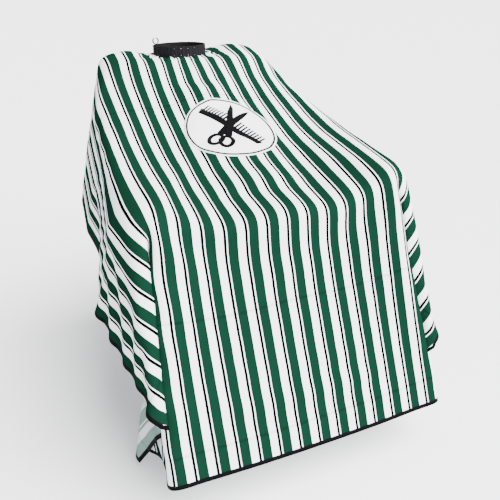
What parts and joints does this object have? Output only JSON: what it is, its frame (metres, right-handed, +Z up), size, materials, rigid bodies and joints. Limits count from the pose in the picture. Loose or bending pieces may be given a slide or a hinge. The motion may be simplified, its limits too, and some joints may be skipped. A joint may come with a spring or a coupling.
{
  "type": "barber cape",
  "caption": "Striped barber cape draped as over a seat, with a snap-closed neck band, bound edges, a back placket and a round chest print.",
  "frame": {"origin": "centre of the neck opening, at half the height of the neck band", "axes": "+Z up out of the neck opening, -Y towards the front hem, +X towards the wearer's left, which is the right of a viewer who faces the front"},
  "size_m": [0.8102, 0.9614, 0.9126],
  "materials": {
    "striped_cloth": "light polyester with a slight sheen, dark green, white and thin black stripes",
    "black_binding": "black woven edge tape",
    "placket_cloth": "black facing cloth",
    "neck_cloth": "black ribbed band cloth",
    "elastic": "woven elastic",
    "snap_metal": "nickel-plated snap",
    "snap_cap": "glossy black cap",
    "label_cloth": "blank satin label",
    "print_film": "matt transfer print, black on white"
  },
  "bodies": {
    "cape": {"cape_panel": "striped_cloth", "front_binding": "black_binding", "left_binding": "black_binding", "right_binding": "black_binding", "back_binding_left": "black_binding", "back_binding_right": "black_binding", "placket_overlap": "placket_cloth", "placket_underlap": "placket_cloth", "neck_band": "neck_cloth", "neck_elastic": "elastic", "snap_studs": "snap_metal", "hanging_loop": "black_binding", "care_label": "label_cloth", "chest_print": "print_film"},
    "tab": {"closure_tab": "neck_cloth", "snap_sockets": "snap_metal", "snap_caps": "snap_cap"}
  },
  "joints": [
    {"name": "tab_peel", "type": "hinge", "parent": "cape", "child": "tab", "pos_m": [-0.02153, 0.07508, 0], "axis": [0, 0, 1], "range_deg": [0, 100]}
  ]
}
